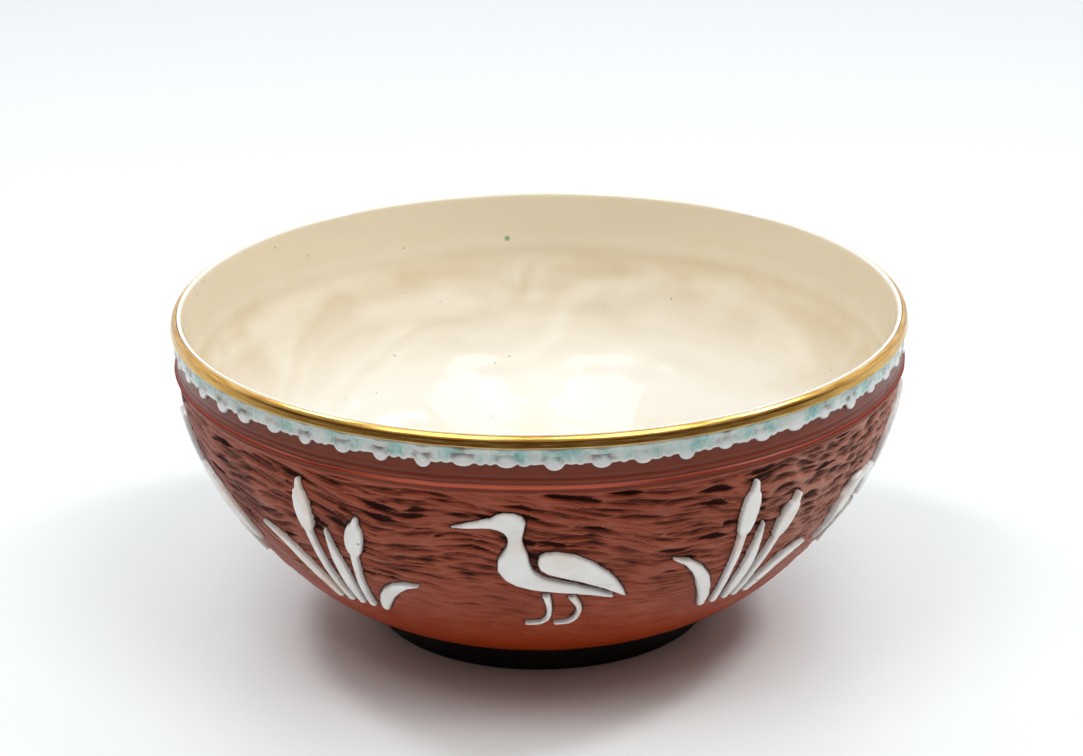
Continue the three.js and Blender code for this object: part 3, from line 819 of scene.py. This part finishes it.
# opaque white glaze broken by copper turquoise in runs and by smears of iron above some tongues, glossy
copperGlaze = {
    "kept": ("above", "tongue", "smear"),
    "vectors": {"patches": ("MULTIPLY", (1, 1, 0.8), "Vector"), "runs": ("MULTIPLY", (1, 1, 0.35), "Vector")},
    "grains": {"patch": ("patches", 9 * mm, 4.0, {}), "streak": ("runs", 0.8 * mm, 2.0, {}),
               "iron": ("coords", 9 * mm, 3.0, {"W": 3.0}), "broken": ("coords", 4 * mm, 3.0, {"W": 8.0}),
               "smeared": ("coords", 24 * mm, 1.0, {"W": 6.0})},
    "sums": [
        ("mottle", "*+", "streak", 0.3, "patch"), ("padded", "*", "tongue", 0.8),
        # iron: a faint haze in patches, and broken clouds over some of the tongues
        ("haze", "->", "iron", 0.5, 0.72, 0.0, 0.4), ("cloud", "->", "broken", 0.36, 0.6, 0.0, 0.95),
        ("where", "->", "smeared", 0.36, 0.5), ("cloud", "*", "cloud", "where"),
        ("smear", "*", "smear", "cloud"), ("bead", "->", "above", 0.9 * mm, 2 * mm, 0.75, 0.0),
        ("thin", "->", "above", 0.0, 0.35 * mm, 0.7, 0.0),
        ("under", "->", "above", 5.6 * mm, 8 * mm, 0.0, 0.6),
    ],
    "ramps": {"tone": ("mottle", [(0.55, "#d8dedb"), (0.67, "#c3d5d1"), (0.77, "#9cc6c1"),
                                  (0.9, "#5da6a3")])},
    "coats": {"body": ["tone", ("haze", "#a8a199"), ("under", "#d6d5cb"), ("padded", "#dcdadb"),
                       ("smear", "#644a3f"), ("bead", "#e2e0de"), ("thin", "#a58c83")]},
    "bump": ("patch", 0.2, 0.4 * mm),
    "shader": {"Roughness": 0.25, "IOR": 1.5},
}

# gilding, millimetres: gold laid over the outer half of the lip, its lower edge a little uneven
gildingProfile = [
    (132.6, 119.35), (132.65, 119.65), (132.78, 119.84), (132.95, 119.9), (133.15, 119.8), (133.4, 119.62),
    (133.66, 119.4), (133.92, 119.15), (134.15, 118.88), (134.33, 118.6), (134.45, 118.33), (134.54, 118.0),
    (134.62, 117.65), (134.7, 117.3), (134.78, 116.95), (134.86, 116.6), (134.94, 116.25), (134.97, 116.05),
    (134.85, 115.95), (134.6, 116.05), (134.4, 117.8), (133.5, 119.2),
]
gilding = {"columns": 384, "edgeTop": 118.0, "edgeFade": 2.0, "edgeSway": 0.14, "swaySize": 14.0}


def makeGilding(material):
    rings = [(r, z, gilding["columns"]) for r, z in gildingProfile[::-1]]
    mesh = turnedMesh("rimGilding", rings, closed=True)
    places = meshPlaces(mesh)
    lowEdge = ((gilding["edgeTop"] - places[:, 2]) / gilding["edgeFade"]).clip(0, 1)
    places[:, 2] += gilding["edgeSway"] * lowEdge * softNoise(places * (1, 1, 0), gilding["swaySize"], 31)
    setPlaces(mesh, places)
    return addPiece("gilded_lip", mesh, material, ["rim_gilding"])


# burnished gold over glaze: warm mirror with brush streaks round the lip and rubbed thin spots
gold = {
    "rings": {"sheet": ("height", 6 * mm)},
    "grains": {"streak": ("sheet", 0.5 * mm, 2.0, {})},
    "sums": [("rough", "->", "streak", 0.0, 1.0, 0.12, 0.28)],
    "ramps": {"body": ("streak", [(0.3, "#c19145"), (0.55, "#dcae5e"), (0.75, "#edcb88")])},
    "shader": {"Metallic": 1.0, "Roughness": "rough"},
}

# foot ring, millimetres: rounded standing edge, slightly waisted side and a plain hollow
footProfile = [
    (55.9, 0.0), (58.5, 0.0), (61.0, 0.0), (61.8, 0.25), (62.3, 0.8), (62.5, 1.6), (62.2, 3.5), (61.7, 6.0),
    (61.1, 8.4), (60.9, 9.5), (57.5, 9.5), (54.5, 9.5), (54.5, 5.0), (54.6, 1.2), (55.0, 0.4),
]
footColumns = 192


def makeFoot(material):
    mesh = turnedMesh("footRing", [(r, z, footColumns) for r, z in footProfile], closed=True)
    return addPiece("turned_foot", mesh, material, ["foot_ring"])


# iron-black slip brushed on the foot: nearly black brown, dull, rubbed paler where it stands
slip = {
    "grains": {"mottle": ("coords", 6 * mm, 4.0, {})},
    "sums": [("paled", "->", "height", 0.1 * mm, 0.9 * mm, 0.3, 0.0)],
    "ramps": {"tone": ("mottle", [(0.35, "#070303"), (0.7, "#160a08")])},
    "coats": {"body": ["tone", ("paled", "#3a211a")]},
    "bump": ("mottle", 0.3, 0.3 * mm),
    "shader": {"Roughness": 0.55, "Specular IOR Level": 0.15, "IOR": 1.5},
}

makeBody(newMaterial("red_earthenware_satin_wash", clay))
print("body carved")
makeRelief(newMaterial("thick_white_glaze", whiteGlaze))
makeLining(newMaterial("cream_glaze_on_slip", creamGlaze))
print("lining poured")
makeCollar(newMaterial("mottled_copper_glaze", copperGlaze))
print("collar dripped")
makeGilding(newMaterial("burnished_gold_lustre", gold))
makeFoot(newMaterial("iron_black_slip", slip))
print("gilding and foot done")


# studio: pale table under two softboxes side by side in front, a small lamp high at each side and a
# panel behind, in a room that is dim and warm on the camera's side; four numbers are a range and what
# it becomes
studio = {
    "floorHalf": 6.0, "aim": (0.0, 0.0, 0.06), "ceiling": (0.12, 0.7, 0.0, 0.46),
    "zenith": (0.7, 1.0, 0.0, 0.15), "wall": (-0.1, 0.5, 0.09, 0.38), "roomTint": "#ffc4a2",
    "background": 0.97, "backward": (0.0, 0.5),
}
laminate = {"coats": {"body": ["#e9eeee"]}, "shader": {"Roughness": 0.45}}       # smooth and nearly white
lamps = [       # name, place in metres, width, depth, watts, colour
    ("leftBox", (-0.47, -0.5, 1.4), 0.72, 0.7, 6.0, "#ffffff"),
    ("rightBox", (0.47, -0.5, 1.4), 0.72, 0.7, 6.0, "#ffffff"),
    ("leftLamp", (-0.85, 0.3, 1.35), 0.25, 0.25, 6.4, "#ffffff"),
    ("rightLamp", (0.95, 0.1, 1.25), 0.25, 0.25, 7.6, "#ffffff"),
    ("backPanel", (0.0, 1.4, 1.0), 1.4, 0.4, 4.0, "#e6f0ff"),
]


def makeTable(material):
    mesh = bpy.data.meshes.new("paleTable")
    half = studio["floorHalf"]
    corners = [(-half, -half, 0), (half, -half, 0), (half, half, 0), (-half, half, 0)]
    mesh.from_pydata(corners, [], [(0, 1, 2, 3)])
    mesh.materials.append(material)
    addObject("paleTable", mesh)


def makeLamps():
    for name, place, width, depth, power, colour in lamps:
        lamp = bpy.data.lights.new(name, "AREA")
        lamp.shape, lamp.size, lamp.size_y, lamp.energy = "RECTANGLE", width, depth, power
        lamp.color = toLinear(colour)[:3]
        holder = addObject(name, lamp)
        holder.location = place
        holder.visible_camera = False
        holder.rotation_euler = (Vector(studio["aim"]) - Vector(place)).to_track_quat("-Z", "Y").to_euler()


def makeRoom():                 # lights the bowl, and shows a pale backdrop to the camera and in the gloss
    world = bpy.data.worlds.new("studioRoom")
    bpy.context.scene.world = world
    world.use_nodes = True
    tree = world.node_tree
    tree.nodes.clear()
    path = addNode(tree, "LightPath").outputs
    place = addNode(tree, "TexCoord").outputs["Generated"]
    toward = addNode(tree, "SeparateXYZ", {0: place}).outputs
    known = {"ahead": toward["Y"], "up": toward["Z"], "camera": path["Is Camera Ray"],
             "gloss": path["Is Glossy Ray"]}
    addSums(tree, known, [
        ("ceiling", "~>", "up", *studio["ceiling"]),
        ("zenith", "~>", "up", *studio["zenith"]),
        ("wall", "~>", "ahead", *studio["wall"]), ("room", "+", "ceiling", "zenith"),
        ("room", "max", "room", "wall"), ("bright", "->", "room", *studio["wall"][2:]),
        ("backward", "->", "ahead", *studio["backward"]), ("mirrored", "*", "gloss", "backward"),
        ("shown", "max", "camera", "mirrored"),
    ])
    sockets = {"Factor": known["bright"], "A": studio["roomTint"], "B": "#ffffff"}
    tint = addNode(tree, "Mix", sockets, data_type="RGBA").outputs["Result"]
    lit = addNode(tree, "Background", {"Color": tint, "Strength": known["room"]})
    plain = addNode(tree, "Background", {"Color": "#ffffff", "Strength": studio["background"]})
    seen = addNode(tree, "MixShader", {0: known["shown"], 1: lit, 2: plain})
    addNode(tree, "OutputWorld", {"Surface": seen})


# camera fitted to the photographed rim: a long lens over a metre away; millimetres, degrees, pixels
shot = {
    "distance": 1198.8, "rise": 19.475, "pitch": 20.82, "yaw": 0.03, "roll": -0.665, "sensorWidth": 36.0,
    "focalPixels": 3264.0, "imageWidth": 1083.0,
}


def makeCamera():
    rise, pitch, yaw, roll = (math.radians(shot[k]) for k in ("rise", "pitch", "yaw", "roll"))
    forward = Vector((math.sin(yaw) * math.cos(pitch), math.cos(yaw) * math.cos(pitch), -math.sin(pitch)))
    right = Vector((math.cos(yaw), -math.sin(yaw), 0))
    up = right.cross(forward)
    tiltedRight = right * math.cos(roll) + up * math.sin(roll)
    tiltedUp = up * math.cos(roll) - right * math.sin(roll)
    rimCentre = Vector((0, 0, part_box("rim_gilding")[1].z))
    place = rimCentre + Vector((0, -math.cos(rise), math.sin(rise))) * shot["distance"] * mm
    lens = bpy.data.cameras.new("photoCamera")
    lens.sensor_fit = "HORIZONTAL"
    lens.sensor_width = shot["sensorWidth"]
    lens.lens = shot["sensorWidth"] * shot["focalPixels"] / shot["imageWidth"]
    camera = addObject("photoCamera", lens)
    axes = Matrix((tiltedRight, tiltedUp, -forward)).transposed()
    camera.matrix_world = Matrix.Translation(place) @ axes.to_4x4()
    bpy.context.scene.camera = camera


makeTable(newMaterial("white_laminate", laminate))
makeLamps()
makeRoom()
makeCamera()
bpy.context.scene.view_settings.view_transform = "Standard"
print("studio and camera set")
